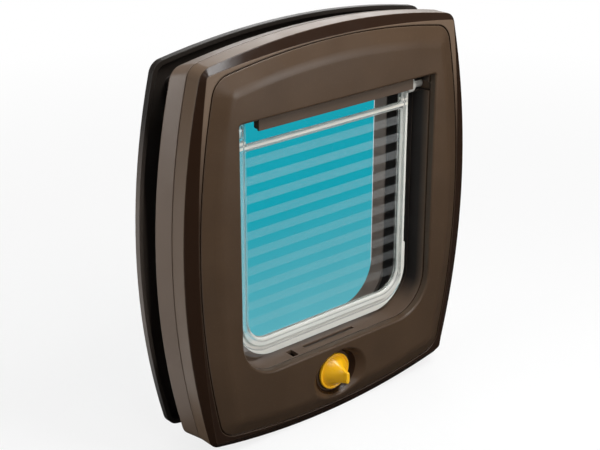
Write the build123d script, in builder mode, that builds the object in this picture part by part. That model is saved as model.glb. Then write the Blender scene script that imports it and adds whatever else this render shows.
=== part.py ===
from build123d import *
import math
import os

# Cat flap for a thin door. A front unit in the room and a rear frame outdoors clamp the door, a
# clear flap swings both ways in the passage, and a turn knob lifts a slider that stops the flap.
# Millimetres; +X right, +Y through the door to the outdoors, +Z up. The origin is the middle of
# the face that lies on the door. Depths are measured from that face towards the room.

# Walls and clearances of the mouldings
wall = 2.5
running_clearance = 0.06
gap = 0.3

# Barrel outline of the front unit, with four bulged sides, and its bands round the opening
frame_height = 252.0
side_band = 35.9
top_band = 43.0
side_bulge = 15.5
top_bulge = 10.0
corner_radius = 9.0

# Skirt of the base frame, spread at the door, and the tongue that centres the cover
base_depth = 9.0
foot_spread = 4.6
foot_dip = 2.3
seam = 0.6
tongue_clearance = 0.2
tongue_wall = 2.0
tongue_height = 4.0

# Bevelled rim of the cover: wide at the middle of each side and narrow at the corners
cover_depth = 13.2
bevel_rise = 2.8
bevel_side = 8.7
bevel_top = 6.2
rim_side_bulge = 9.0
rim_top_bulge = 7.0
rim_corner_radius = 2.5

# Shadow groove inside the rim, and the crowned face inside the groove
groove_side = 9.2
groove_top = 6.7
groove_side_bulge = 13.0
groove_top_bulge = 8.9
groove_width = 0.8
groove_depth = 1.0
face_corner_radius = 13.0
crown_rise = 4.5
crown_width = 10.0
crown_round = 13.0

# Catches that hold the cover on the tongue
catch_length = 30.0
catch_thickness = 1.2
catch_reach = 1.4
catch_lift = 0.6

# Opening in the cover
opening_margin = 1.0
opening_radius = 26.0
square_radius = 1.5
reveal_depth = 5.3
reveal_wall = 3.5
reveal_round = 1.5

# Chamber round the flap and collar through the door, both on the base frame
chamber_room = 8.3
chamber_head = 3.0
chamber_back = 6.0
collar_step = 4.6
collar_drop = 5.5
collar_reach = 1.2

# Hood over the hinge, in the top of the opening
hood_width = 121.0
hood_drop = 7.5
hood_thickness = 3.0
hood_proud = 1.5
hood_round = 2.0

# Flap and its hinge
flap_depth = 11.0
flap_width = 134.6
flap_head = 4.0
pane_thickness = 2.0
border_width = 5.8
border_thickness = 5.0
border_radius = 20.0
border_slope = 0.8
cross_rib_drop = 11.6
cross_rib_width = 3.6
lip_reach = 1.5
lip_height = 6.5
lip_side = 42.0
lip_thickness = 3.0
lip_radius = 26.0
sill_clearance = 3.0
pivot_drop = 9.0
pin_radius = 3.0
pin_length = 9.8
knuckle_radius = 5.0
knuckle_length = 4.8
knuckle_reach = 3.2
ear_radius = 5.5
ear_length = 9.7
hinge_rib_thickness = 2.0

# Knob in its dish
knob_rise = 28.2
dish_depth = 7.3
dish_width = 44.0
dish_tall = 34.0
dish_land = 4.8
dish_margin = 1.6
dish_round = 1.5
knob_radius = 12.0
disc_thickness = 1.8
disc_slope = 0.5
grip_length = 12.4
grip_radius = 10.6
grip_tip_width = 2.8
grip_tip_tall = 8.0
grip_hollow = 1.6
shaft_radius = 4.0
square_size = 5.0
square_relief = 0.2

# Cam, follower and slider of the lock
lock_turn = 90.0
lock_lift = 6.0
cam_thickness = 2.4
cam_start_radius = 6.0
cam_rim = 1.4
cam_spans = 6
hub_radius = 5.0
follower_radius = 1.3
follower_clearance = 0.15
slider_gap = 0.9
slider_thickness = 2.0
slider_width = 40.0
slider_drop = 14.2
tab_offset = 4.3
tab_thickness = 2.0
tab_width = 40.0
tab_rest = 1.0
tab_side_clearance = 0.75
tab_face_clearance = 0.5
fin_offset = 31.3
fin_width = 3.6
fin_back = 13.6
fin_reach = 6.8
fin_rest = 3.4
web_thickness = 2.0
web_clearance = 0.8

# Guide strips that keep the slider on its rails
guide_lip = 3.0
guide_flange = 7.0
guide_thickness = 2.0
guide_length = 20.0

# Rear frame and the door between the frames
door_thickness = 15.0
rear_spread = 5.0
rear_dip = 2.5
rear_depth = 7.0
rear_bevel = 3.0
rear_groove_inset = 9.2
rear_way_step = 1.0
rear_way_drop = 2.5
rear_way_sill = 5.0
rear_way_radius = 27.0
rear_collar_reach = 5.3
rear_mouth_slope = 1.5

# Screws
clamp_side = 12.4
clamp_rise = 28.0
clamp_radius = 2.0
clamp_hole_clearance = 0.15
clamp_head_radius = 3.8
clamp_head_height = 2.6
clamp_bite = 4.0
boss_wall = 3.0
thread_clearance = 0.05
guide_screw_pitch = 12.0
small_screw_radius = 1.25
guide_screw_length = 9.0
small_head_radius = 2.5
small_head_height = 1.7
cam_screw_length = 7.0
head_slope = 0.6

# Widths worked out from the flap, and heights from the frame
chamber_width = flap_width + 2 * chamber_room
opening_width = chamber_width + 2 * opening_margin
frame_width = opening_width + 2 * side_band
collar_width = chamber_width - 2 * collar_step
rear_way_width = collar_width - 2 * rear_way_step
clamp_span_x = chamber_width + 2 * clamp_side
clamp_span_z = frame_height - 2 * clamp_rise
opening_top = frame_height / 2 - top_band
knob_height = knob_rise - frame_height / 2
sill_height = knob_height + dish_tall / 2 + dish_land
chamber_top = opening_top + chamber_head
collar_top = chamber_top - collar_drop
hood_bottom = opening_top - hood_drop
pivot_height = opening_top - pivot_drop
cross_rib_height = pivot_height - cross_rib_drop
rear_way_top = collar_top - rear_way_drop
rear_way_bottom = sill_height - rear_way_sill

# Other places worked out from the sizes above
cover_back = base_depth + seam
rim_depth = cover_back + cover_depth
skirt_depth = rim_depth - bevel_rise
face_depth = rim_depth + crown_rise
frame_outline = (frame_width, frame_height, side_bulge, top_bulge)
foot_outline = (frame_width + 2 * foot_spread, frame_height - 2 * foot_dip, side_bulge, top_bulge)
rim_outline = (
    frame_width - 2 * bevel_side,
    frame_height - 2 * bevel_top,
    rim_side_bulge,
    rim_top_bulge,
)
groove_outline = (
    frame_width - 2 * groove_side,
    frame_height - 2 * groove_top,
    groove_side_bulge,
    groove_top_bulge,
)
rear_outline = (
    frame_width + 2 * rear_spread,
    frame_height - 2 * rear_dip,
    side_bulge,
    top_bulge,
)
tongue_inset = wall + tongue_clearance
pocket_inset = tongue_inset + tongue_wall
catch_back = cover_back + catch_lift
chamber_front = face_depth - reveal_depth
chamber_radius = opening_radius - (opening_width - chamber_width) / 2
collar_radius = opening_radius
flap_top = pivot_height + flap_head
lip_bottom = sill_height + sill_clearance
lip_top = lip_bottom + lip_side
border_bottom = lip_bottom + lip_height
knuckle_end = flap_width / 2 + knuckle_reach
ear_start = knuckle_end + gap
bore_radius = pin_radius + running_clearance
hinge_rib_start = chamber_width / 2 + wall + gap
dish_floor = face_depth - dish_depth
bowl_back = dish_floor - wall
disc_back = dish_floor + gap
disc_front = disc_back + disc_thickness
grip_end = disc_front + grip_length
cam_front = bowl_back - gap
cam_back = cam_front - cam_thickness
square_end = cam_back + square_relief
knob_place = (0, knob_height)
follower_half = follower_radius + follower_clearance
slider_front = cam_back - slider_gap
slider_back = slider_front - slider_thickness
rail_front = slider_back - gap
tab_front_depth = flap_depth + tab_offset
tab_rear_depth = flap_depth - tab_offset
tab_top = sill_height - tab_rest
web_top = sill_height - wall - lock_lift - web_clearance
web_bottom = web_top - web_thickness
web_back = tab_rear_depth - tab_thickness / 2
web_front = tab_front_depth + tab_thickness / 2
slider_bottom = knob_height - slider_drop
guide_inner = slider_width / 2 - guide_lip
guide_outer = slider_width / 2 + gap + guide_flange
guide_back = slider_front + gap
guide_front = guide_back + guide_thickness
guide_screw_x = slider_width / 2 + gap + guide_flange / 2
guide_middle = slider_bottom + guide_length / 2
head_window = small_head_radius + gap
rear_back = door_thickness + rear_depth


def at_depth(depth):
    """Plane parallel to the door at a depth in front of its inner face, facing the room."""
    return Plane.XZ.offset(depth)


def barrel(depth, outline_size, inset, radius):
    """Barrel outline: four arcs with rounded corners, moved in from its full size by an inset."""
    width, height, bulge_x, bulge_z = outline_size
    half_width = width / 2 - inset
    half_height = height / 2 - inset
    corner_x = half_width - bulge_x
    corner_z = half_height - bulge_z
    with BuildSketch(at_depth(depth)) as outline:
        with BuildLine():
            ThreePointArc((corner_x, -corner_z), (half_width, 0), (corner_x, corner_z))
            ThreePointArc((corner_x, corner_z), (0, half_height), (-corner_x, corner_z))
            ThreePointArc((-corner_x, corner_z), (-half_width, 0), (-corner_x, -corner_z))
            ThreePointArc((-corner_x, -corner_z), (0, -half_height), (corner_x, -corner_z))
        make_face()
        fillet(outline.vertices(), radius)
    return outline.sketch


def doorway(depth, width, top, bottom, low_radius, top_radius=square_radius):
    """Outline of the passage: square above, with large round corners below."""
    with BuildSketch(at_depth(depth)) as outline:
        with Locations((0, (top + bottom) / 2)):
            Rectangle(width, top - bottom)
        fillet(outline.vertices().group_by(Axis.Y)[0], low_radius)
        fillet(outline.vertices().group_by(Axis.Y)[-1], top_radius)
    return outline.sketch


def discs(depth, radius, places):
    """Circles of one radius at several places on a plane parallel to the door."""
    with BuildSketch(at_depth(depth)) as outline:
        with Locations(*places):
            Circle(radius)
    return outline.sketch


def bars(depth, width, height, places):
    """Rectangles of one size at several places on a plane parallel to the door."""
    with BuildSketch(at_depth(depth)) as outline:
        with Locations(*places):
            Rectangle(width, height)
    return outline.sketch


def pivot_disc(start, radius):
    """Circle about the hinge axis, on a plane across it."""
    with BuildSketch(Plane.YZ.offset(start)) as outline:
        with Locations((-flap_depth, pivot_height)):
            Circle(radius)
    return outline.sketch


def oval(depth, width, height):
    """Ellipse round the knob's axis."""
    with BuildSketch(at_depth(depth)) as outline:
        with Locations(knob_place):
            Ellipse(width / 2, height / 2)
    return outline.sketch


def cam_point(share):
    """Place of the follower in the cam, after a share of the turn."""
    radius = cam_start_radius + lock_lift * share
    angle = math.radians(lock_turn * share)
    return (-radius * math.sin(angle), radius * math.cos(angle))


def floor_slot(width, length, x, depth):
    """Rectangle in the plane of the sill, with its length across the door."""
    with BuildSketch(Plane.XY.offset(sill_height - 2 * wall)) as outline:
        with Locations((x, -depth)):
            Rectangle(width, length)
    return outline.sketch


def room_edges(part, depth):
    """Edges that lie in the plane at one depth."""
    tolerance = running_clearance
    return part.edges().filter_by_position(Axis.Y, -depth - tolerance, -depth + tolerance)


def slope_rim(part, depth, width, rise):
    """Slopes the outer edge of the front that lies at one depth, by a width across and a rise in depth."""
    front = part.faces().sort_by(Axis.Y)[0]
    chamfer(room_edges(part, depth), length=width, length2=rise, reference=front)


clamp_places = [
    (side * clamp_span_x / 2, level * clamp_span_z / 2) for side in (-1, 1) for level in (-1, 1)
]
guide_screw_places = [
    (side * guide_screw_x, guide_middle + level * guide_screw_pitch / 2)
    for side in (-1, 1)
    for level in (-1, 1)
]
guide_places = [(side * (guide_inner + guide_outer) / 2, guide_middle) for side in (-1, 1)]
catch_side_x = frame_width / 2 - wall
catch_top_z = frame_height / 2 - wall

# Hollow of the cover, less the wall round the opening and the bowl of the dish
with BuildPart() as cover_hollow:
    extrude(
        barrel(cover_back, groove_outline, groove_width + wall, face_corner_radius),
        amount=face_depth - wall - cover_back,
    )
    slope_rim(cover_hollow, face_depth - wall, crown_width, crown_rise)
    extrude(
        barrel(cover_back, frame_outline, wall, corner_radius - wall),
        amount=rim_depth - groove_depth - wall - cover_back,
    )
    extrude(
        doorway(
            chamber_front,
            opening_width + 2 * reveal_wall,
            opening_top + reveal_wall,
            sill_height - reveal_wall,
            opening_radius + reveal_wall,
        ),
        amount=reveal_depth,
        mode=Mode.SUBTRACT,
    )
    dish_low = 2 * (knob_radius + dish_margin)
    loft(
        [
            oval(bowl_back, dish_low + 2 * wall, dish_low + 2 * wall).face(),
            oval(face_depth, dish_width + 2 * wall, dish_tall + 2 * wall).face(),
        ],
        mode=Mode.SUBTRACT,
    )

# Front cover: skirt, bevelled rim, shadow groove and crowned face, hollow behind
with BuildPart() as front_cover:
    extrude(
        barrel(cover_back, frame_outline, 0, corner_radius), amount=skirt_depth - cover_back
    )
    loft(
        [
            barrel(skirt_depth, frame_outline, 0, corner_radius).face(),
            barrel(rim_depth, rim_outline, 0, rim_corner_radius).face(),
        ],
        ruled=True,
    )
    extrude(
        barrel(rim_depth, groove_outline, 0, face_corner_radius + groove_width),
        amount=-groove_depth,
        mode=Mode.SUBTRACT,
    )
    extrude(
        barrel(rim_depth - groove_depth, groove_outline, groove_width, face_corner_radius),
        amount=groove_depth + crown_rise,
    )
    slope_rim(front_cover, face_depth, crown_width, crown_rise)
    fillet(room_edges(front_cover, face_depth), crown_round)
    add(cover_hollow.part, mode=Mode.SUBTRACT)
    # Opening and its rolled edge
    extrude(
        doorway(chamber_front, opening_width, opening_top, sill_height, opening_radius),
        amount=reveal_depth,
        mode=Mode.SUBTRACT,
    )
    face_plane = front_cover.faces().sort_by(Axis.Y)[0]
    fillet(face_plane.inner_wires()[0].edges(), reveal_round)
    # Dish for the knob, with the hole for its shaft
    loft(
        [
            oval(dish_floor, dish_low, dish_low).face(),
            oval(face_depth, dish_width, dish_tall).face(),
        ],
        mode=Mode.SUBTRACT,
    )
    dish_middle = (knob_place[0], -(dish_floor + face_depth) / 2, knob_height)
    dish_side = front_cover.faces().filter_by(GeomType.BSPLINE).sort_by_distance(dish_middle)[0]
    fillet(dish_side.edges().filter_by(lambda edge: edge.center().Y < -dish_floor - gap), dish_round)
    extrude(
        discs(bowl_back, shaft_radius + running_clearance, [knob_place]),
        amount=wall,
        mode=Mode.SUBTRACT,
    )
    # Catches on the four sides of the skirt
    extrude(
        bars(catch_back, 2 * catch_reach, catch_length, [(-catch_side_x, 0), (catch_side_x, 0)]),
        amount=catch_thickness,
    )
    extrude(
        bars(catch_back, catch_length, 2 * catch_reach, [(0, -catch_top_z), (0, catch_top_z)]),
        amount=catch_thickness,
    )
    # Ribs that close the hinge bearings
    hinge_rib_x = hinge_rib_start + hinge_rib_thickness / 2
    extrude(
        bars(
            flap_depth,
            hinge_rib_thickness,
            2 * pin_radius,
            [(-hinge_rib_x, pivot_height), (hinge_rib_x, pivot_height)],
        ),
        amount=chamber_front + wall / 2 - flap_depth,
    )
    extrude(
        pivot_disc(0, bore_radius),
        amount=hinge_rib_start + hinge_rib_thickness,
        both=True,
        mode=Mode.SUBTRACT,
    )

# Base frame: back plate with skirt and tongue, chamber and collar of the passage, hinge and rails
with BuildPart() as base_frame:
    loft(
        [
            barrel(0, foot_outline, 0, corner_radius).face(),
            barrel(base_depth, frame_outline, 0, corner_radius).face(),
        ],
        ruled=True,
    )
    extrude(
        barrel(base_depth, frame_outline, tongue_inset, corner_radius - wall), amount=tongue_height
    )
    pocket_mouth = barrel(base_depth, frame_outline, pocket_inset, corner_radius - wall)
    loft(
        [
            barrel(wall, foot_outline, pocket_inset, corner_radius - wall).face(),
            pocket_mouth.face(),
        ],
        ruled=True,
        mode=Mode.SUBTRACT,
    )
    extrude(pocket_mouth, amount=tongue_height, mode=Mode.SUBTRACT)
    extrude(
        doorway(
            chamber_back,
            chamber_width + 2 * wall,
            chamber_top + wall,
            sill_height - wall,
            chamber_radius + wall,
        ),
        amount=chamber_front - chamber_back,
    )
    extrude(
        doorway(
            -collar_reach,
            collar_width + 2 * wall,
            collar_top + wall,
            sill_height - wall,
            collar_radius + wall,
        ),
        amount=chamber_back + collar_reach,
    )
    extrude(
        doorway(
            chamber_back + wall, chamber_width, chamber_top, sill_height, chamber_radius
        ),
        amount=chamber_front - chamber_back - wall,
        mode=Mode.SUBTRACT,
    )
    extrude(
        doorway(-collar_reach, collar_width, collar_top, sill_height, collar_radius),
        amount=chamber_back + wall + collar_reach,
        mode=Mode.SUBTRACT,
    )
    # Hood over the hinge
    with BuildSketch(at_depth(chamber_front)) as hood:
        with Locations((0, (hood_bottom + chamber_top + wall) / 2)):
            Rectangle(hood_width, chamber_top + wall - hood_bottom)
        fillet(hood.vertices().group_by(Axis.Y)[0], hood_round)
    extrude(amount=-hood_thickness)
    hood_top = opening_top - gap
    extrude(
        bars(
            chamber_front,
            hood_width,
            hood_top - hood_bottom,
            [(0, (hood_top + hood_bottom) / 2)],
        ),
        amount=hood_proud,
    )
    # Hinge ears, each slotted towards the room so that the pin drops in
    for side in (-1, 1):
        extrude(pivot_disc(side * ear_start, ear_radius), amount=side * ear_length)
    ear_middle = ear_start + ear_length / 2
    extrude(
        bars(
            flap_depth,
            ear_length,
            2 * bore_radius,
            [(-ear_middle, pivot_height), (ear_middle, pivot_height)],
        ),
        amount=chamber_front - flap_depth,
        mode=Mode.SUBTRACT,
    )
    for side in (-1, 1):
        extrude(
            pivot_disc(side * ear_start, bore_radius),
            amount=side * ear_length,
            mode=Mode.SUBTRACT,
        )
    # Slots in the sill for the slider's tabs and fin
    slot_width = tab_width + 2 * tab_side_clearance
    slot_length = tab_thickness + 2 * tab_face_clearance
    fin_middle = fin_back + fin_reach / 2
    extrude(
        floor_slot(slot_width, slot_length, 0, tab_front_depth), amount=2 * wall, mode=Mode.SUBTRACT
    )
    extrude(
        floor_slot(slot_width, slot_length, 0, tab_rear_depth), amount=2 * wall, mode=Mode.SUBTRACT
    )
    extrude(
        floor_slot(
            fin_width + 2 * tab_face_clearance,
            fin_reach + 2 * tab_face_clearance,
            -fin_offset,
            fin_middle,
        ),
        amount=2 * wall,
        mode=Mode.SUBTRACT,
    )
    # Rails behind the slider, with pilot holes
    extrude(bars(wall, guide_outer - guide_inner, guide_length, guide_places), amount=rail_front - wall)
    extrude(
        discs(rail_front, small_screw_radius + thread_clearance, guide_screw_places),
        amount=guide_front - guide_screw_length - gap - rail_front,
        mode=Mode.SUBTRACT,
    )
    # Holes for the clamp screws
    extrude(
        discs(0, clamp_radius + clamp_hole_clearance, clamp_places),
        amount=wall,
        mode=Mode.SUBTRACT,
    )
    # Windows in the tongue for the cover's catches
    window_reach = 2 * (pocket_inset - wall + gap)
    window_length = catch_length + 2 * gap
    window_depth = catch_thickness + 2 * gap
    extrude(
        bars(
            catch_back - gap,
            window_reach,
            window_length,
            [(-catch_side_x, 0), (catch_side_x, 0)],
        ),
        amount=window_depth,
        mode=Mode.SUBTRACT,
    )
    extrude(
        bars(
            catch_back - gap,
            window_length,
            window_reach,
            [(0, -catch_top_z), (0, catch_top_z)],
        ),
        amount=window_depth,
        mode=Mode.SUBTRACT,
    )

# Flap: pane, thick border with a cross rib, lip round the lower edge, knuckles and pins
with BuildPart() as flap:
    extrude(
        doorway(flap_depth, flap_width, flap_top, border_bottom, border_radius),
        amount=border_thickness / 2,
        both=True,
    )
    extrude(
        doorway(
            flap_depth,
            flap_width + 2 * lip_reach,
            lip_top,
            lip_bottom,
            lip_radius,
            lip_reach / 2,
        ),
        amount=lip_thickness / 2,
        both=True,
    )
    # Windows sunk from both faces leave the pane, below and above the cross rib
    window_width = flap_width - 2 * border_width
    rib_top = cross_rib_height + cross_rib_width / 2
    rib_bottom = cross_rib_height - cross_rib_width / 2
    for facing in (-1, 1):
        window_face = flap_depth + facing * border_thickness / 2
        sink = facing * (pane_thickness - border_thickness) / 2
        extrude(
            doorway(
                window_face,
                window_width,
                rib_bottom,
                border_bottom + border_width,
                border_radius - border_width,
            ),
            amount=sink,
            mode=Mode.SUBTRACT,
        )
        extrude(
            doorway(window_face, window_width, flap_top, rib_top, square_radius),
            amount=sink,
            mode=Mode.SUBTRACT,
        )
    # Sloped edges of the border and the rib
    for facing in (-1, 1):
        rims = room_edges(flap, flap_depth + facing * border_thickness / 2)
        chamfer(rims.filter_by(lambda edge: edge.center().Z < flap_top - gap), border_slope)
    # A knuckle and a pin at each end of the hinge axis
    for side in (-1, 1):
        knuckle_start = side * (knuckle_end - knuckle_length)
        extrude(pivot_disc(knuckle_start, knuckle_radius), amount=side * knuckle_length)
        extrude(pivot_disc(side * knuckle_end, pin_radius), amount=side * pin_length)

# Lock knob: turned disc, cone and shaft; the cone is hollowed on two sides to an upright grip
with BuildPart() as lock_knob:
    with BuildSketch(Plane.XY.offset(knob_height)):
        with BuildLine():
            Polyline(
                (0, -cam_front),
                (shaft_radius, -cam_front),
                (shaft_radius, -disc_back),
                (knob_radius, -disc_back),
                (knob_radius, -disc_front + disc_slope),
                (knob_radius - disc_slope, -disc_front),
                (grip_radius, -disc_front),
                (grip_tip_tall / 2, -grip_end),
                (0, -grip_end),
                close=True,
            )
        make_face()
    revolve(axis=Axis((0, 0, knob_height), (0, 1, 0)))
    with BuildSketch(Plane.XY.offset(knob_height)):
        with BuildLine():
            Polyline((grip_radius, -disc_front), (grip_radius, -grip_end), (grip_tip_width / 2, -grip_end))
            ThreePointArc(
                (grip_tip_width / 2, -grip_end),
                ((grip_radius + grip_tip_width / 2) / 2 - grip_hollow, -(disc_front + grip_end) / 2),
                (grip_radius, -disc_front),
            )
        make_face()
        mirror(about=Plane.YZ)
    extrude(amount=knob_radius, both=True, mode=Mode.SUBTRACT)
    extrude(
        bars(square_end, square_size, square_size, [knob_place]), amount=cam_front - square_end
    )
    extrude(
        discs(square_end, small_screw_radius + thread_clearance, [knob_place]),
        amount=cam_back + cam_screw_length + gap - square_end,
        mode=Mode.SUBTRACT,
    )

# Lock cam: snail plate whose spiral slot lifts the follower evenly with the turn
with BuildLine() as cam_path:
    for span in range(cam_spans):
        ThreePointArc(*(cam_point((span + part) / cam_spans) for part in (0, 1 / 2, 1)))
with BuildPart() as lock_cam:
    with BuildSketch(at_depth(cam_back)):
        with Locations(knob_place):
            SlotArc(cam_path.wire(), 2 * (follower_half + cam_rim))
            Circle(hub_radius)
            SlotArc(cam_path.wire(), 2 * follower_half, mode=Mode.SUBTRACT)
            Rectangle(
                square_size + 2 * thread_clearance,
                square_size + 2 * thread_clearance,
                mode=Mode.SUBTRACT,
            )
    extrude(amount=cam_thickness)

# Cam screw: pan head that holds the cam on the knob's square end
with BuildPart() as cam_screw:
    extrude(discs(cam_back, small_head_radius, [knob_place]), amount=-small_head_height)
    chamfer(room_edges(cam_screw, cam_back - small_head_height), head_slope)
    extrude(discs(cam_back, small_screw_radius, [knob_place]), amount=cam_screw_length)

# Lock slider: plate with a follower pin, a web and the tabs that rise through the sill
with BuildPart() as lock_slider:
    extrude(
        bars(slider_back, slider_width, web_top - slider_bottom, [(0, (web_top + slider_bottom) / 2)]),
        amount=slider_thickness,
    )
    extrude(
        bars(web_back, slider_width, web_thickness, [(0, (web_top + web_bottom) / 2)]),
        amount=web_front - web_back,
    )
    tab_middle = (tab_top + web_bottom) / 2
    tab_tall = tab_top - web_bottom
    for depth in (tab_front_depth, tab_rear_depth):
        extrude(
            bars(depth - tab_thickness / 2, tab_width, tab_tall, [(0, tab_middle)]),
            amount=tab_thickness,
        )
    arm_width = fin_offset + fin_width / 2
    extrude(
        bars(fin_back, arm_width, web_thickness, [(-arm_width / 2, (web_top + web_bottom) / 2)]),
        amount=web_front - fin_back,
    )
    fin_top = sill_height - fin_rest
    extrude(
        bars(fin_back, fin_width, fin_top - web_bottom, [(-fin_offset, (fin_top + web_bottom) / 2)]),
        amount=fin_reach,
    )
    # Window that rides past the cam screw's head
    extrude(
        bars(
            slider_back,
            2 * head_window,
            2 * head_window + lock_lift,
            [(0, knob_height - lock_lift / 2)],
        ),
        amount=slider_thickness,
        mode=Mode.SUBTRACT,
    )
    extrude(
        discs(slider_front, follower_radius, [(0, knob_height + cam_start_radius)]),
        amount=slider_gap + cam_thickness - gap,
    )

# Slider guides: two angle strips, each screwed on its rail
with BuildPart() as slider_guides:
    extrude(
        bars(
            rail_front,
            guide_flange,
            guide_length,
            [(-guide_screw_x, guide_middle), (guide_screw_x, guide_middle)],
        ),
        amount=guide_back - rail_front,
    )
    extrude(
        bars(guide_back, guide_outer - guide_inner, guide_length, guide_places),
        amount=guide_thickness,
    )
    extrude(
        discs(rail_front, small_screw_radius + thread_clearance, guide_screw_places),
        amount=guide_front - rail_front,
        mode=Mode.SUBTRACT,
    )

# Guide screws: four pan-head screws
with BuildPart() as guide_screws:
    extrude(discs(guide_front, small_head_radius, guide_screw_places), amount=small_head_height)
    chamfer(room_edges(guide_screws, guide_front + small_head_height), head_slope)
    extrude(
        discs(guide_front, small_screw_radius, guide_screw_places), amount=-guide_screw_length
    )

# Rear frame: shallow hollow frame outdoors, with a collar and four screw bosses
with BuildPart() as rear_frame:
    extrude(barrel(-door_thickness, rear_outline, 0, corner_radius), amount=-rear_depth)
    chamfer(room_edges(rear_frame, -rear_back), rear_bevel)
    extrude(
        barrel(-door_thickness, rear_outline, wall, corner_radius - wall),
        amount=wall - rear_depth,
        mode=Mode.SUBTRACT,
    )
    extrude(
        doorway(
            -door_thickness + rear_collar_reach,
            rear_way_width + 2 * wall,
            rear_way_top + wall,
            rear_way_bottom - wall,
            rear_way_radius + wall,
        ),
        amount=-rear_collar_reach - rear_depth,
    )
    extrude(
        doorway(
            -door_thickness + rear_collar_reach,
            rear_way_width,
            rear_way_top,
            rear_way_bottom,
            rear_way_radius,
        ),
        amount=-rear_collar_reach - rear_depth,
        mode=Mode.SUBTRACT,
    )
    rear_plane = rear_frame.faces().sort_by(Axis.Y)[-1]
    chamfer(rear_plane.inner_wires()[0].edges(), rear_mouth_slope)
    # Shadow groove outdoors, as on the cover
    with BuildSketch(at_depth(-rear_back)):
        add(
            barrel(-rear_back, rear_outline, rear_groove_inset, face_corner_radius + groove_width)
        )
        add(
            barrel(
                -rear_back, rear_outline, rear_groove_inset + groove_width, face_corner_radius
            ),
            mode=Mode.SUBTRACT,
        )
    extrude(amount=groove_depth, mode=Mode.SUBTRACT)
    # Bosses for the clamp screws
    extrude(
        discs(-door_thickness, clamp_radius + boss_wall, clamp_places), amount=wall - rear_depth
    )
    extrude(
        discs(-door_thickness, clamp_radius + thread_clearance, clamp_places),
        amount=-clamp_bite - gap,
        mode=Mode.SUBTRACT,
    )

# Clamp screws: four screws through the door from the base frame into the rear frame
with BuildPart() as clamp_screws:
    extrude(discs(wall, clamp_head_radius, clamp_places), amount=clamp_head_height)
    chamfer(room_edges(clamp_screws, wall + clamp_head_height), head_slope)
    extrude(
        discs(wall, clamp_radius, clamp_places), amount=-wall - door_thickness - clamp_bite
    )

os.makedirs("parts", exist_ok=True)
for name, piece in (
    ("front_cover", front_cover),
    ("base_frame", base_frame),
    ("flap", flap),
    ("lock_knob", lock_knob),
    ("lock_cam", lock_cam),
    ("cam_screw", cam_screw),
    ("lock_slider", lock_slider),
    ("slider_guides", slider_guides),
    ("guide_screws", guide_screws),
    ("rear_frame", rear_frame),
    ("clamp_screws", clamp_screws),
):
    piece.part.label = name
    export_step(piece.part, f"parts/{name}.step")
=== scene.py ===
import math
import bpy
import bmesh
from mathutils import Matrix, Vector


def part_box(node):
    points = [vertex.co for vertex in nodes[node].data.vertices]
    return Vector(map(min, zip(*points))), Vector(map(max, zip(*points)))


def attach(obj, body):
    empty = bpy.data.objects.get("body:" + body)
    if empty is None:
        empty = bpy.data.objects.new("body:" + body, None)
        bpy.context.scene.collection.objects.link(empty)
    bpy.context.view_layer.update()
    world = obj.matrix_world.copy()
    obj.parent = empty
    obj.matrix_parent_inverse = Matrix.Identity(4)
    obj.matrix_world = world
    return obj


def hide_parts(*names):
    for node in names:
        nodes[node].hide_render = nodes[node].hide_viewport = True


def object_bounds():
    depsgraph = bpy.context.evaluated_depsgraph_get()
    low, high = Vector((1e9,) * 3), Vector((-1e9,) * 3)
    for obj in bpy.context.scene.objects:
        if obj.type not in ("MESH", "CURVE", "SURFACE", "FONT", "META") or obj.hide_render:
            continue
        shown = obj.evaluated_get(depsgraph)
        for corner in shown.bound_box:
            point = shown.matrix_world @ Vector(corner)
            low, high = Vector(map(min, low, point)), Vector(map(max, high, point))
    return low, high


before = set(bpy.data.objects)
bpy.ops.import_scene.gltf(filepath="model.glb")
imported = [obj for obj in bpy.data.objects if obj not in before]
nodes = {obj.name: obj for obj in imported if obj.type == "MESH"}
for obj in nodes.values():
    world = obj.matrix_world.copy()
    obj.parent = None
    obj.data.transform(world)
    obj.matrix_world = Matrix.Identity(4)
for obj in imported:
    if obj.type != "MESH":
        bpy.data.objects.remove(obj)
cad_low, cad_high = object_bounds()
scene = bpy.context.scene
scene.view_settings.view_transform = "Standard"


# Sizes and places in metres: X is to the right, Y runs from the room through the door, Z is up

# Cover, by depth: a thin ledge, the rim behind it, painted dark as painted shade, and the skirt, painted
# paler as painted sheen; then the heights where the ledge turns pale with a painted highlight
ledge_front = -0.022865
ledge_back = -0.022755
ledge_blur = 0.000035
skirt_front = -0.019975
skirt_blur = 0.000075
ledge_highlight_from = 0.03
ledge_highlight_full = 0.09

# Base frame: the zone of the passage, painted dark as painted shade, the hood at its front and the sill at
# its foot, where that painted shade gives way to lit browns
passage_half_width = 0.08
passage_half_height = 0.09
passage_blur = 0.002
hood_back = -0.0165
hood_front = -0.0215
sill_from = -0.058
sill_full = -0.072

# Rear frame: the walls of its passage, painted paler as painted light, and its side edges, painted paler as
# painted sheen, which fade out above and below
collar_half_width = 0.0706
collar_half_height = 0.0797
collar_middle = -0.0015
collar_blur = 0.0002
side_edge_from = 0.1085
side_edge_full = 0.1105
side_edge_full_height = 0.035
side_edge_end_height = 0.085

# Flap: its middle plane, and how far off that plane its border stands
flap_middle = -0.011
border_off = 0.00115
border_blur = 0.0001

# Window of the flap's pane, with a square top and round lower corners
window_half = 0.0615
window_corner = 0.0142
window_bottom = -0.0607

# Flap's border, where painted highlight goes: its low part by height, its lip and the painted dark lines
# between highlights by distance from the window, and its sides
low_border_from = -0.05
low_border_full = -0.06
lip_from = 0.0056
lip_full = 0.006
border_lines = (0.0021, 0.0081)
line_core = 0.0002
line_end = 0.0007
left_side = -0.066
left_side_end = -0.05
right_edge_from = 0.0645
right_edge_full = 0.0652

# Flap's cross rib, measured up and down from its middle: a clear core between two painted highlight lines
rib_height = 0.0646
rib_core = 0.0003
rib_bright = 0.0011
rib_edge = 0.0022
rib_end = 0.0026

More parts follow.
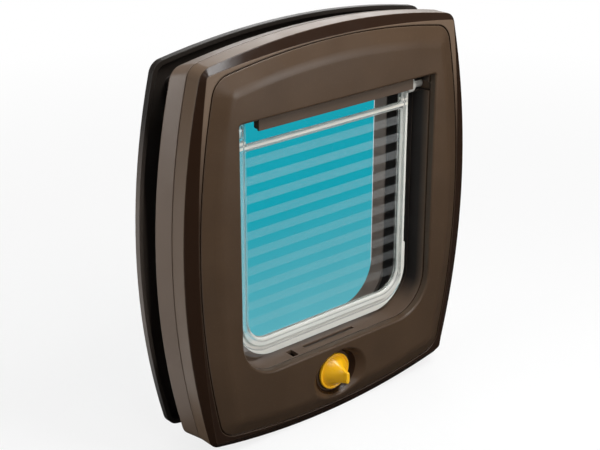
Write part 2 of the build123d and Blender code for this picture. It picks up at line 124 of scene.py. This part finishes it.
# Share of the flap's border painted milky white as painted highlight, where the rest goes through
plain_share = 0.15
low_share = 0.66
wall_share = 0.58
right_share = 0.75
rib_core_share = 0.3
rib_bright_share = 0.95

# Factors on the painted highlight of the walls at the left side, and on that share in the painted dark lines
left_factor = 0.3
line_factor = 0.4

# Walls of the flap: how much of their normal lies along Y where a wall begins and where it is full
wall_from = 0.98
wall_full = 0.8

# Frosted stripes: a thin film on the room side of the pane
pane_face = -0.01202
film_thick = 0.00006
stripe_first = 0.0534
stripe_pitch = 0.0113
stripe_height = 0.0054
stripe_count = 10
stripe_steps = 6
stripe_margin = 0.0006
weld_distance = 1e-6
frost_bottom = -0.055
frost_top = 0.05
frost_bottom_share = 0.03
frost_top_share = 0.07

# Knob: shaft with a square end and a screw hole, disc with a raised rim round a well, and grip
hole_radius = 0.0013
square_half = 0.0025
square_length = 0.0022
square_chamfer = 0.0001
shaft_radius = 0.004
disc_radius = 0.012
disc_thick = 0.0018
rim_inner = 0.0112
well_drop = 0.0006
grip_length = 0.0124
tip_across = 0.0014
tip_up = 0.004
flare_across = 0.0088
flare_up = 0.0061
tip_round = 0.0005
knob_turns = 96
grip_steps = 32
crease_degrees = 50

# Powers of the knob: of its rings, where 2 is round and a large one is square, and of its hollow flank
round_power = 2
square_power = 24
tip_power = 3.2
tip_growth = 3
hollow_across = 1.9
hollow_up = 1.6

# Stage: the floor with its greys and its shadow's reach, the world's fill, the sheet and the card
floor_half = 4.0
floor_gap = 0.0002
floor_plain = 0.3
floor_in_gloss = 0.03
floor_seen = 0.85
shadow_near = 0.3
shadow_far = 0.9
shadow_glow = 0.8
world_fill = 0.12
sheet_lift = 0.0004
sheet_outline = ((-1.8, -0.3), (-0.2, -0.3), (-0.125, 0), (-0.125, 1.2), (-1.8, 1.2))
card_gap = 0.004
card_half = 0.075
card_bottom = -0.0855
card_top = 0.0825
card_pale_height = -0.09
card_deep_height = 0.0

# Camera: its place, its tilt and turn in degrees, and its lens and sensor in millimetres
camera_place = (-0.5088, -0.5757, 0.3166)
camera_tilt = 67.30
camera_turn = -40.90
camera_lens = 81.14
camera_sensor = 36.0


# Node helpers

def shader(name):
    """A new material with an empty tree, its surface socket and object coordinates in metres."""
    made = bpy.data.materials.new(name)
    made.use_nodes = True
    tree = made.node_tree
    tree.nodes.clear()
    surface = tree.nodes.new("ShaderNodeOutputMaterial").inputs["Surface"]
    place = tree.nodes.new("ShaderNodeTexCoord").outputs["Object"]
    return made, tree, surface, place


def put(tree, kind, inputs=None, **settings):
    """A node with its settings and its inputs, which are values or sockets to link."""
    made = tree.nodes.new(kind)
    for key, value in settings.items():
        setattr(made, key, value)
    for key, value in (inputs or {}).items():
        if isinstance(value, bpy.types.NodeSocket):
            tree.links.new(value, made.inputs[key])
        else:
            made.inputs[key].default_value = value
    return made


def calc(tree, operation, a, b):
    return put(tree, "ShaderNodeMath", {0: a, 1: b}, operation=operation).outputs[0]


def times(tree, a, b):
    return calc(tree, "MULTIPLY", a, b)


def larger(tree, a, b):
    return calc(tree, "MAXIMUM", a, b)


def size_of(tree, value):
    return put(tree, "ShaderNodeMath", {0: value}, operation="ABSOLUTE").outputs[0]


def apart(tree, value, place):
    """How far a value is from a place, on either side."""
    return size_of(tree, calc(tree, "SUBTRACT", value, place))


def length(tree, vector):
    return put(tree, "ShaderNodeVectorMath", {0: vector}, operation="LENGTH").outputs["Value"]


def axes(tree, vector):
    return put(tree, "ShaderNodeSeparateXYZ", {0: vector}).outputs


def mix(tree, share, a, b):
    """A colour between two others."""
    return put(tree, "ShaderNodeMix", {0: share, 6: a, 7: b}, data_type="RGBA").outputs[2]


def ramp(tree, value, low, high, to_low=0.0, to_high=1.0):
    """A value moved from one span to another, and held at the ends."""
    spans = {"Value": value, "From Min": low, "From Max": high, "To Min": to_low, "To Max": to_high}
    return put(tree, "ShaderNodeMapRange", spans).outputs["Result"]


def above(tree, value, place, blur):
    """A soft step from 0 to 1 where a value passes a place."""
    return ramp(tree, value, place - blur, place + blur)


def below(tree, value, place, blur):
    """A soft step from 1 to 0 where a value passes a place."""
    return ramp(tree, value, place + blur, place - blur)


def noise(tree, place, scale, detail, rough=0.55):
    settings = {"Vector": place, "Scale": scale, "Detail": detail, "Roughness": rough}
    return put(tree, "ShaderNodeTexNoise", settings).outputs["Fac"]


def patches(tree, place, scale, detail, low=0.0, high=1.0, spread=0.2):
    """Noise patches that run from one value to another, sharper where the spread is smaller."""
    level = noise(tree, place, scale, detail)
    return ramp(tree, level, 0.5 - spread, 0.5 + spread, low, high)


def bump(tree, height, strength, distance, normal=None):
    """A normal tipped by a height, over another normal where one is given."""
    inputs = {"Strength": strength, "Distance": distance, "Height": height}
    if normal is not None:
        inputs["Normal"] = normal
    return put(tree, "ShaderNodeBump", inputs).outputs[0]


def edge_share(tree, radius, full=0.85):
    """How near a sharp edge is, from 0 to 1, and the normal rounded over it."""
    rounded = put(tree, "ShaderNodeBevel", {"Radius": radius}, samples=6).outputs["Normal"]
    flat = tree.nodes.new("ShaderNodeNewGeometry").outputs["Normal"]
    alike = put(tree, "ShaderNodeVectorMath", {0: rounded, 1: flat}, operation="DOT_PRODUCT")
    return ramp(tree, alike.outputs["Value"], 1.0, full), rounded


def principled(tree, surface, inputs):
    """A principled shader on the material's surface."""
    body = put(tree, "ShaderNodeBsdfPrincipled", inputs)
    tree.links.new(body.outputs[0], surface)


def rgb(*levels):
    """Linear colour from sRGB levels of 0 to 255."""
    parts = [level / 255 for level in levels]
    linear = [p / 12.92 if p <= 0.04045 else ((p + 0.055) / 1.055) ** 2.4 for p in parts]
    return (*linear, 1.0)


def grey(level):
    return (level, level, level, 1.0)


# Colours of the zones and of the clear, frosted, plated and stage materials

# Painted shade for the cover's rim, and the cover's pale for specks, worn edges, painted highlight and
# painted sheen
rim_painted_shade = rgb(40, 26, 17)
cover_wear_and_highlight = rgb(104, 86, 70)
# Painted shade for the base's passage, with lit browns where it gives way at the hood and sill
passage_painted_shade = rgb(24, 18, 15)
hood_brown = rgb(80, 64, 50)
sill_brown = rgb(84, 67, 53)
# Painted light for the rear passage walls, and painted sheen for its side edges
collar_painted_light = rgb(112, 100, 91)
side_edge_painted_sheen = rgb(100, 90, 82)
pane_cool = (0.93, 0.97, 0.97, 1.0)
pane_white = (0.98, 1.0, 1.0, 1.0)
# Painted highlight for the flap's border
border_painted_highlight = (0.9, 0.86, 0.77, 1.0)
frost_dim = (0.68, 0.71, 0.71, 1.0)
frost_pale = (0.78, 0.80, 0.80, 1.0)
zinc_dull = (0.42, 0.42, 0.40, 1.0)
zinc_bright = (0.66, 0.65, 0.62, 1.0)
card_pale = rgb(97, 181, 194)
card_deep = rgb(20, 166, 184)

# Refraction of the plastics
plastic_ior = 1.5
clear_ior = 1.47


# Zones of the mouldings, painted with shade, highlight and sheen: each gives the colour, and what is added
# to the roughness

def paint_cover(tree, spot, shade, rim_gloss=-0.13):
    """Rim painted dark as painted shade and polished, a ledge in front of it with a painted highlight at the
    top, and a skirt painted paler as painted sheen.
    """
    depth = spot["Y"]
    behind_ledge = above(tree, depth, ledge_back, ledge_blur)
    rim = times(tree, behind_ledge, below(tree, depth, skirt_front, skirt_blur))
    ledge = times(tree, above(tree, depth, ledge_front, ledge_blur),
                  below(tree, depth, ledge_back, ledge_blur))
    skirt = above(tree, depth, skirt_front, skirt_blur)
    high = ramp(tree, spot["Z"], ledge_highlight_from, ledge_highlight_full)
    # Painted shade darkens the rim; a painted highlight pales the ledge high up; painted sheen pales the
    # skirt
    shade = mix(tree, rim, shade, rim_painted_shade)
    shade = mix(tree, ledge, shade, mix(tree, high, rim_painted_shade, cover_wear_and_highlight))
    return mix(tree, skirt, shade, cover_wear_and_highlight), times(tree, rim, rim_gloss)


def paint_base(tree, spot, shade, passage_dull=0.26):
    """Passage painted dark as painted shade and made duller, turning to the cover's brown at the hood, and a
    browner sill left out of the painted shade.
    """
    inner = times(tree, below(tree, size_of(tree, spot["X"]), passage_half_width, passage_blur),
                  below(tree, size_of(tree, spot["Z"]), passage_half_height, passage_blur))
    forward = ramp(tree, spot["Y"], hood_back, hood_front)
    passage = mix(tree, forward, passage_painted_shade, hood_brown)
    low = ramp(tree, spot["Z"], sill_from, sill_full)
    passage = mix(tree, low, passage, sill_brown)
    # Painted shade darkens the passage, lifting to lit browns at the hood's front and on the sill
    return mix(tree, inner, shade, passage), times(tree, inner, passage_dull)


def paint_rear(tree, spot, shade):
    """Walls of the passage painted paler as painted light, and side edges painted paler at middle height as
    painted sheen.
    """
    across = size_of(tree, spot["X"])
    inner = times(tree, below(tree, across, collar_half_width, collar_blur),
                  below(tree, apart(tree, spot["Z"], collar_middle), collar_half_height, collar_blur))
    # Painted light pales the walls of the passage
    shade = mix(tree, inner, shade, collar_painted_light)
    # Painted sheen pales the side edges at middle height
    middle = ramp(tree, size_of(tree, spot["Z"]), side_edge_end_height, side_edge_full_height)
    side = times(tree, ramp(tree, across, side_edge_from, side_edge_full), middle)
    return mix(tree, side, shade, side_edge_painted_sheen), 0.0


# Materials

def moulded(name, colour, deep, wear_and_highlight, rough, grain, gloss=0.5, soft=0.0006, edge_wear_and_highlight=0.35, paint=None):
    """Moulded plastic: mottled colour, fine grain, edges painted paler as wear and as painted highlight, and
    the moulding's own painted zones.
    """
    made, tree, surface, place = shader(name)
    shade = mix(tree, patches(tree, place, scale=22.0, detail=4.0, spread=0.15), deep, colour)
    specks = ramp(tree, noise(tree, place, scale=900.0, detail=2.0), 0.62, 0.8, to_high=0.25)
    shade = mix(tree, specks, shade, wear_and_highlight)
    polish = patches(tree, place, scale=60.0, detail=5.0, low=rough - 0.05, high=rough + 0.06)
    edge, rounded = edge_share(tree, soft)
    if paint:
        shade, rougher = paint(tree, axes(tree, place), shade)
        polish = calc(tree, "ADD", polish, rougher)
    # Edges painted paler: partly wear, partly painted highlight
    shade = mix(tree, times(tree, edge, edge_wear_and_highlight), shade, wear_and_highlight)
    fine = noise(tree, place, scale=2600.0, detail=2.0)
    wavy = noise(tree, place, scale=35.0, detail=2.0)
    normal = bump(tree, fine, strength=0.5, distance=grain, normal=rounded)
    normal = bump(tree, wavy, strength=0.25, distance=0.0002, normal=normal)
    principled(tree, surface, {"Base Color": shade, "Roughness": polish, "Normal": normal,
                               "IOR": plastic_ior, "Specular IOR Level": gloss})
    return made


def from_window(tree, spot):
    """Distance out from the pane's window, round its lower corners."""
    side = calc(tree, "SUBTRACT", size_of(tree, spot["X"]), window_half - window_corner)
    down = calc(tree, "SUBTRACT", window_bottom + window_corner, spot["Z"])
    away = put(tree, "ShaderNodeCombineXYZ", {0: larger(tree, side, 0.0), 1: larger(tree, down, 0.0)})
    return calc(tree, "SUBTRACT", length(tree, away.outputs[0]), window_corner)


def wall_of_border(tree, spot, edge):
    """Edges and side walls, which face neither the room nor outdoors, where the painted highlight goes,
    fainter at the left side.
    """
    normal = tree.nodes.new("ShaderNodeNewGeometry").outputs["Normal"]
    turned = put(tree, "ShaderNodeVectorTransform", {0: normal}, vector_type="NORMAL",
                 convert_from="WORLD", convert_to="OBJECT").outputs[0]
    facing = size_of(tree, axes(tree, turned)["Y"])
    wall = larger(tree, edge, ramp(tree, facing, wall_from, wall_full))
    return times(tree, wall, ramp(tree, spot["X"], left_side, left_side_end, left_factor, 1.0))


def border_highlight_paint(tree, spot, edge):
    """Share of painted highlight on the flap's border: none on the pane, most on rib, lip and walls."""
    thick = above(tree, apart(tree, spot["Y"], flap_middle), border_off, border_blur)
    wall = wall_of_border(tree, spot, edge)
    away = from_window(tree, spot)
    low = ramp(tree, spot["Z"], low_border_from, low_border_full, plain_share, low_share)
    lip = ramp(tree, away, lip_from, lip_full, plain_share, low_share)
    from_rib = apart(tree, spot["Z"], rib_height)
    rib = times(tree, ramp(tree, from_rib, rib_core, rib_bright, rib_core_share, rib_bright_share),
                ramp(tree, from_rib, rib_end, rib_edge))
    face = larger(tree, larger(tree, low, lip), rib)
    # Painted dark lines between the painted highlights
    for line in border_lines:
        near = apart(tree, away, line)
        face = times(tree, face, ramp(tree, near, line_core, line_end, line_factor, 1.0))
    highlight_share = ramp(tree, wall, 0.0, 1.0, face, larger(tree, rib, wall_share))
    right = ramp(tree, spot["X"], right_edge_from, right_edge_full, 0.0, right_share)
    return times(tree, thick, larger(tree, highlight_share, right))


def clear(name):
    """Clear moulded plastic: a see-through pane, and a border whose walls and edges are painted milky white
    as painted highlights.
    """
    made, tree, surface, place = shader(name)
    tint = mix(tree, patches(tree, place, scale=30.0, detail=3.0), pane_cool, pane_white)
    edge, rounded = edge_share(tree, radius=0.0005)
    highlight_share = border_highlight_paint(tree, axes(tree, place), edge)
    # Painted highlight: the border is painted milky white where it stands off the pane
    tint = mix(tree, highlight_share, tint, border_painted_highlight)
    polish = patches(tree, place, scale=90.0, detail=4.0, low=0.01, high=0.05)
    flow = noise(tree, place, scale=40.0, detail=2.0)
    normal = bump(tree, flow, strength=0.15, distance=0.0002, normal=rounded)
    principled(tree, surface, {"Base Color": tint, "Roughness": polish, "IOR": clear_ior, "Normal": normal,
                               "Transmission Weight": calc(tree, "SUBTRACT", 1.0, highlight_share)})
    return made


def frosted(name):
    """Frosted stripe on the pane: pale, see-through and finely grained, fainter low down."""
    made, tree, surface, place = shader(name)
    grain = noise(tree, place, scale=1500.0, detail=3.0)
    shade = mix(tree, ramp(tree, grain, 0.3, 0.7), frost_dim, frost_pale)
    cloudy = patches(tree, place, scale=500.0, detail=4.0, low=0.85, high=1.15)
    height = axes(tree, place)["Z"]
    dense = ramp(tree, height, frost_bottom, frost_top, frost_bottom_share, frost_top_share)
    normal = bump(tree, grain, strength=0.4, distance=0.00003)
    principled(tree, surface, {"Base Color": shade, "Roughness": 0.6, "IOR": clear_ior,
                               "Alpha": times(tree, cloudy, dense), "Normal": normal})
    return made


def steel(name):
    """Zinc-plated steel with fine turning marks and duller patches."""
    made, tree, surface, place = shader(name)
    bright = patches(tree, place, scale=300.0, detail=5.0, spread=0.15)
    shade = mix(tree, bright, zinc_dull, zinc_bright)
    polish = patches(tree, place, scale=700.0, detail=4.0, low=0.25, high=0.45)
    lines = put(tree, "ShaderNodeTexWave", {"Vector": place, "Scale": 700.0, "Distortion": 0.4},
                bands_direction="Y").outputs["Fac"]
    normal = bump(tree, lines, strength=0.3, distance=0.00005)
    principled(tree, surface, {"Base Color": shade, "Metallic": 1.0, "Roughness": polish, "Normal": normal})
    return made


cover_brown = moulded("cover_brown", rgb(76, 59, 44), deep=rgb(70, 54, 40), wear_and_highlight=cover_wear_and_highlight, rough=0.33,
                      grain=0.00003, gloss=0.28, soft=0.001, edge_wear_and_highlight=0.5, paint=paint_cover)
base_brown = moulded("base_brown", rgb(108, 92, 79), deep=rgb(101, 85, 72), wear_and_highlight=rgb(122, 105, 91),
                     rough=0.36, grain=0.00003, gloss=0.45, paint=paint_base)
rear_brown = moulded("rear_brown", rgb(38, 32, 27), deep=rgb(33, 28, 24), wear_and_highlight=rgb(60, 52, 46), rough=0.45,
                     grain=0.00003, gloss=0.4, paint=paint_rear)
knob_yellow = moulded("knob_yellow", rgb(255, 194, 26), deep=rgb(250, 184, 18), wear_and_highlight=rgb(255, 222, 110),
                      rough=0.3, grain=0.00002, soft=0.0004)
lock_dark = moulded("lock_dark", rgb(40, 33, 28), deep=rgb(34, 28, 24), wear_and_highlight=rgb(58, 50, 44), rough=0.5,
                    grain=0.00004)
clear_plastic = clear("clear_plastic")
stripe_frost = frosted("stripe_frost")
screw_steel = steel("screw_steel")

for name, made in (
    ("front_cover", cover_brown),
    ("base_frame", base_brown),
    ("rear_frame", rear_brown),
    ("flap", clear_plastic),
    ("lock_knob", knob_yellow),
    ("lock_cam", lock_dark),
    ("lock_slider", lock_dark),
    ("slider_guides", lock_dark),
    ("cam_screw", screw_steel),
    ("guide_screws", screw_steel),
    ("clamp_screws", screw_steel),
):
    nodes[name].data.materials.clear()
    nodes[name].data.materials.append(made)


# Pieces

def piece_from(name, shape, made):
    """A new object with a shape's mesh and a material."""
    bmesh.ops.recalc_face_normals(shape, faces=shape.faces)
    mesh = bpy.data.meshes.new(name)
    shape.to_mesh(mesh)
    shape.free()
    mesh.materials.append(made)
    piece = bpy.data.objects.new(name, mesh)
    scene.collection.objects.link(piece)
    return piece


# Knob: turned disc with a raised rim, a hollow flank that runs up to an upright tip, and the shaft

def knob_rings(tip, end):
    """Rings from the screw hole round to the tip: depth, half width, half height and power."""
    disc_front = tip - grip_length
    disc_back = disc_front - disc_thick
    square_front = end + square_length
    well = disc_front - well_drop
    hole = [(disc_front, hole_radius), (end, hole_radius)]
    square_end = [
        (end, square_half - square_chamfer),
        (end + square_chamfer, square_half),
        (square_front, square_half),
    ]
    shaft_and_disc = [
        (square_front, shaft_radius),
        (disc_back, shaft_radius),
        (disc_back, disc_radius - 0.0004),
        (disc_back + 0.0001, disc_radius - 0.0001),
        (disc_back + 0.0004, disc_radius),
        (disc_front - 0.0006, disc_radius),
        (disc_front - 0.0002, disc_radius - 0.00012),
        (disc_front, disc_radius - 0.00045),
        (disc_front, rim_inner),
        (disc_front - 0.00015, rim_inner - 0.00028),
        (disc_front - 0.0004, rim_inner - 0.0005),
        (well, rim_inner - 0.00085),
    ]
    rings = [(depth, radius, radius, round_power) for depth, radius in hole]
    rings += [(depth, half, half, square_power) for depth, half in square_end]
    rings += [(depth, radius, radius, round_power) for depth, radius in shaft_and_disc]
    for step in range(1, grip_steps + 1):
        share = step / grip_steps
        fall = 1 - share
        depth = well + (tip - tip_round - well) * share
        across = tip_across + flare_across * fall ** hollow_across
        up = tip_up + flare_up * fall ** hollow_up
        power = round_power + (tip_power - round_power) * share ** tip_growth
        rings.append((depth, across, up, power))
    for drop, inset_across, inset_up in (
        (0.0002, 0.00015, 0.0002),
        (0.00003, 0.0005, 0.0006),
        (0.0, 0.001, 0.0012),
    ):
        rings.append((tip - drop, tip_across - inset_across, tip_up - inset_up, tip_power))
    return rings


def bent(value, power):
    """A sine or cosine bent towards a square by a power."""
    return math.copysign(abs(value) ** (2 / power), value)


def skin_over(rings, middle):
    """A closed skin over rings round an axis along Y, at a height."""
    shape = bmesh.new()
    last = None
    for depth, across, up, power in rings:
        ring = []
        for step in range(knob_turns):
            angle = 2 * math.pi * step / knob_turns
            x = bent(math.cos(angle), power) * across
            z = bent(math.sin(angle), power) * up
            ring.append(shape.verts.new((x, -depth, middle + z)))
        if last:
            for step in range(knob_turns):
                shape.faces.new((last[step - 1], last[step], ring[step], ring[step - 1]))
        else:
            shape.faces.new(ring)
        last = ring
    shape.faces.new(last)
    return shape


knob_low, knob_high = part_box("lock_knob")
knob_skin = skin_over(knob_rings(tip=-knob_low.y, end=-knob_high.y), middle=(knob_low.z + knob_high.z) / 2)
knob_turned = piece_from("knob_turned", knob_skin, knob_yellow)
for face in knob_turned.data.polygons:
    face.use_smooth = True
knob_turned.data.set_sharp_from_angle(angle=math.radians(crease_degrees))
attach(knob_turned, "knob")
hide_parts("lock_knob")


# Frosted stripes on the room side of the pane

def stripe_end(height):
    """Half width of the pane's window at a height, less a small margin."""
    drop = window_bottom + window_corner - height
    if drop <= 0:
        return window_half - stripe_margin
    corner = math.sqrt(max(window_corner ** 2 - drop ** 2, 0.0))
    return window_half - window_corner + corner - stripe_margin


def striped_film():
    """Thin bars across the window, with ends that follow its lower corners."""
    shape = bmesh.new()
    for index in range(stripe_count):
        bottom = stripe_first - stripe_pitch * index - stripe_height / 2
        levels = [bottom + stripe_height * step / stripe_steps for step in range(stripe_steps + 1)]
        outline = [(-stripe_end(z), z) for z in levels]
        outline += [(stripe_end(z), z) for z in reversed(levels)]
        front = shape.faces.new([shape.verts.new((x, pane_face - film_thick, z)) for x, z in outline])
        grown = bmesh.ops.extrude_face_region(shape, geom=[front])["geom"]
        back = [part for part in grown if isinstance(part, bmesh.types.BMVert)]
        bmesh.ops.translate(shape, vec=(0, film_thick, 0), verts=back)
    bmesh.ops.remove_doubles(shape, verts=shape.verts, dist=weld_distance)
    return shape


flap_stripes = piece_from("flap_stripes", striped_film(), stripe_frost)
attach(flap_stripes, "flap")


# Stage: pale floor, white sheet seen only in gloss, blue card seen only through the clear flap

def plane(name, corners, made):
    """A flat piece of the stage."""
    sheet = bpy.data.meshes.new(name)
    sheet.from_pydata(corners, [], [tuple(range(len(corners)))])
    sheet.materials.append(made)
    obj = bpy.data.objects.new(name, sheet)
    scene.collection.objects.link(obj)


def light_path(tree):
    return tree.nodes.new("ShaderNodeLightPath").outputs


def glow(tree, colour):
    return put(tree, "ShaderNodeEmission", {"Color": colour, "Strength": 1.0})


def blend(tree, share, first, second):
    """A shader between two others."""
    return put(tree, "ShaderNodeMixShader", {0: share, 1: first.outputs[0], 2: second.outputs[0]}).outputs[0]


def floor_pale():
    """Matt floor, white with a faint shadow to the camera and straight through the flap, dark in gloss."""
    made, tree, surface, place = shader("floor_pale")
    path = light_path(tree)
    straight = calc(tree, "LESS_THAN", path["Glossy Depth"], 0.5)
    seen = larger(tree, path["Is Camera Ray"], times(tree, path["Is Transmission Ray"], straight))
    tone = mix(tree, path["Is Glossy Ray"], grey(floor_plain), grey(floor_in_gloss))
    tone = mix(tree, path["Is Camera Ray"], tone, grey(floor_seen))
    matt = put(tree, "ShaderNodeBsdfDiffuse", {"Color": tone})
    lit = times(tree, seen, ramp(tree, length(tree, place), shadow_near, shadow_far, shadow_glow, 1.0))
    tree.links.new(blend(tree, lit, matt, glow(tree, grey(1.0))), surface)
    return made


def sheet_white():
    """White in gloss, and clear to everything else."""
    made, tree, surface, _ = shader("sheet_white")
    empty = put(tree, "ShaderNodeBsdfTransparent")
    share = light_path(tree)["Is Glossy Ray"]
    tree.links.new(blend(tree, share, empty, glow(tree, grey(1.0))), surface)
    return made


def card_blue():
    """Blue through clear plastic from the room side, paler low down, and clear to everything else."""
    made, tree, surface, place = shader("card_blue")
    rise = ramp(tree, axes(tree, place)["Z"], card_pale_height, card_deep_height)
    hue = mix(tree, rise, card_pale, card_deep)
    empty = put(tree, "ShaderNodeBsdfTransparent")
    back = tree.nodes.new("ShaderNodeNewGeometry").outputs["Backfacing"]
    share = times(tree, light_path(tree)["Is Transmission Ray"], calc(tree, "SUBTRACT", 1.0, back))
    tree.links.new(blend(tree, share, empty, glow(tree, hue)), surface)
    return made


floor_height = cad_low.z - floor_gap
sheet_height = floor_height + sheet_lift
card_depth = cad_high.y + card_gap
floor_corners = ((-floor_half, -floor_half), (floor_half, -floor_half), (floor_half, floor_half),
                 (-floor_half, floor_half))
card_corners = ((-card_half, card_bottom), (card_half, card_bottom), (card_half, card_top),
                (-card_half, card_top))
plane("floor", [(x, y, floor_height) for x, y in floor_corners], floor_pale())
plane("sheet", [(x, y, sheet_height) for x, y in sheet_outline], sheet_white())
plane("card", [(x, card_depth, z) for x, z in card_corners], card_blue())


# World: white to the camera and through the flap, and a low fill for all other light

def background(tree, strength):
    return put(tree, "ShaderNodeBackground", {"Color": grey(1.0), "Strength": strength})


scene.world = bpy.data.worlds.new("studio")
scene.world.use_nodes = True
sky = scene.world.node_tree
sky.nodes.clear()
sky_path = light_path(sky)
sky_seen = larger(sky, sky_path["Is Camera Ray"], sky_path["Is Transmission Ray"])
sky_blend = blend(sky, sky_seen, background(sky, world_fill), background(sky, 1.0))
put(sky, "ShaderNodeOutputWorld", {"Surface": sky_blend})


# Lamps and camera

def lamp(name, spot, size, radiance):
    """A square soft box of a radiance, aimed at the origin and out of the camera's sight."""
    data = bpy.data.lights.new(name, "AREA")
    data.size = size
    data.energy = radiance * math.pi * size * size
    obj = bpy.data.objects.new(name, data)
    obj.location = spot
    obj.rotation_euler = (-Vector(spot)).to_track_quat("-Z", "Y").to_euler()
    obj.visible_camera = False
    scene.collection.objects.link(obj)


lamp("top_box", (0.1, 0.25, 1.1), size=0.9, radiance=0.9)
lamp("back_box", (1.02, 1.1, 0.62), size=0.8, radiance=2.8)
lamp("left_box", (-1.3, 0.1, 0.35), size=0.8, radiance=3.5)
lamp("key_box", (0.12, -0.3, 0.55), size=0.25, radiance=16.0)
lamp("front_box", (-0.15, -0.45, 0.35), size=0.3, radiance=3.0)
lamp("right_box", (0.3, -0.6, 0.1), size=0.3, radiance=5.0)

view = bpy.data.cameras.new("camera")
view.lens = camera_lens
view.sensor_width = camera_sensor
camera = bpy.data.objects.new("camera", view)
camera.location = camera_place
camera.rotation_euler = (math.radians(camera_tilt), 0, math.radians(camera_turn))
scene.collection.objects.link(camera)
scene.camera = camera
